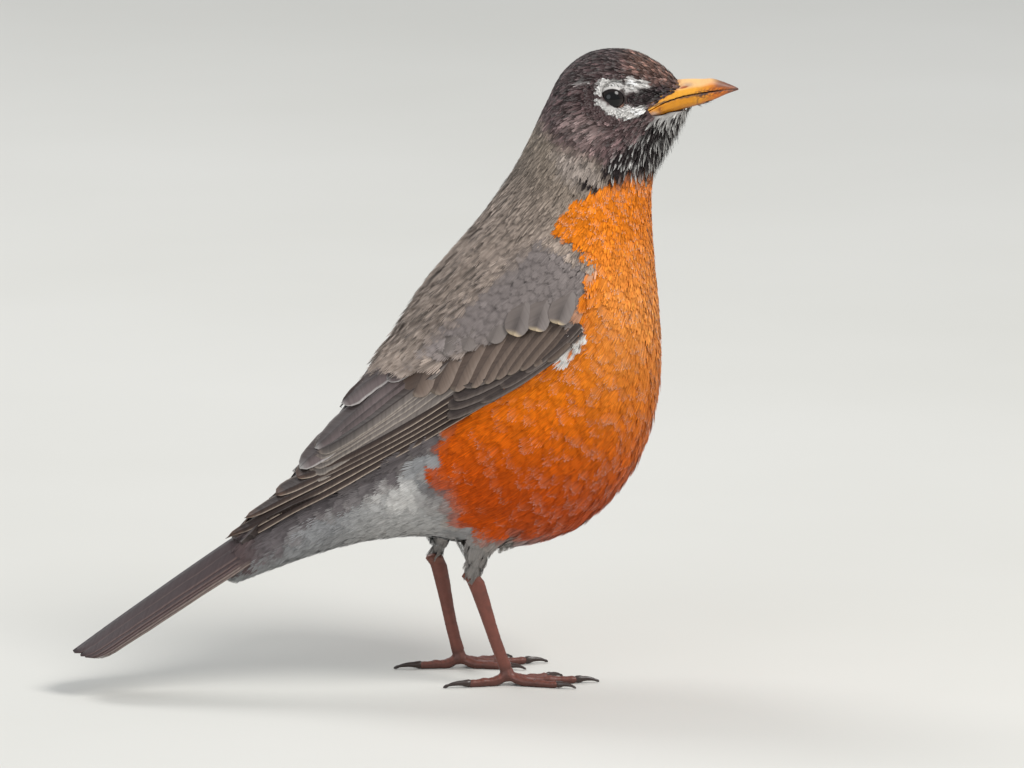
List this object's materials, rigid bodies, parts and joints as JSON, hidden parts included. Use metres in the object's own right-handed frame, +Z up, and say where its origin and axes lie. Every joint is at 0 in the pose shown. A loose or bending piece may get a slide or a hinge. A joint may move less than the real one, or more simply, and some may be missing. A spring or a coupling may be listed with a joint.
{
  "type": "american robin",
  "caption": "Still life-size songbird model standing upright with folded wings, grey-brown back, dark head and orange breast.",
  "frame": {"origin": "on the floor, under the middle of the bird's extent along and across", "axes": "+X the way the bird faces, +Y its left, +Z up"},
  "size_m": [0.1946, 0.0696, 0.1835],
  "materials": {
    "head_feathers": "matt, soft feathers",
    "back_feathers": "matt, soft feathers",
    "breast_feathers": "matt, soft feathers",
    "pale_feathers": "matt, downy feathers",
    "wing_coverts": "matt feathers with a faint sheen",
    "flight_feathers": "smooth vanes with a faint sheen",
    "tail_feathers": "smooth vanes with a faint sheen",
    "eye": "wet gloss",
    "bill": "horn, satin",
    "legs": "scaled skin, satin",
    "claws": "horn, satin"
  },
  "bodies": {
    "root": {"head": "head_feathers", "neck": "back_feathers", "trunk": "breast_feathers", "rump": "pale_feathers", "bill_upper": "bill", "bill_lower": "bill", "tail": "tail_feathers", "eye_right": "eye", "eye_left": "eye", "wing_right_shoulder": "wing_coverts", "wing_right_coverts": "wing_coverts", "wing_right_alula": "flight_feathers", "wing_right_tertials": "flight_feathers", "wing_right_secondaries": "flight_feathers", "wing_right_primaries": "flight_feathers", "wing_left_shoulder": "wing_coverts", "wing_left_coverts": "wing_coverts", "wing_left_alula": "flight_feathers", "wing_left_tertials": "flight_feathers", "wing_left_secondaries": "flight_feathers", "wing_left_primaries": "flight_feathers", "thigh_right": "pale_feathers", "thigh_left": "pale_feathers", "shin_right": "legs", "shin_left": "legs", "foot_right": "legs", "foot_left": "legs", "claw_right_inner": "claws", "claw_right_middle": "claws", "claw_right_outer": "claws", "claw_right_hind": "claws", "claw_left_inner": "claws", "claw_left_middle": "claws", "claw_left_outer": "claws", "claw_left_hind": "claws"}
  },
  "joints": []
}
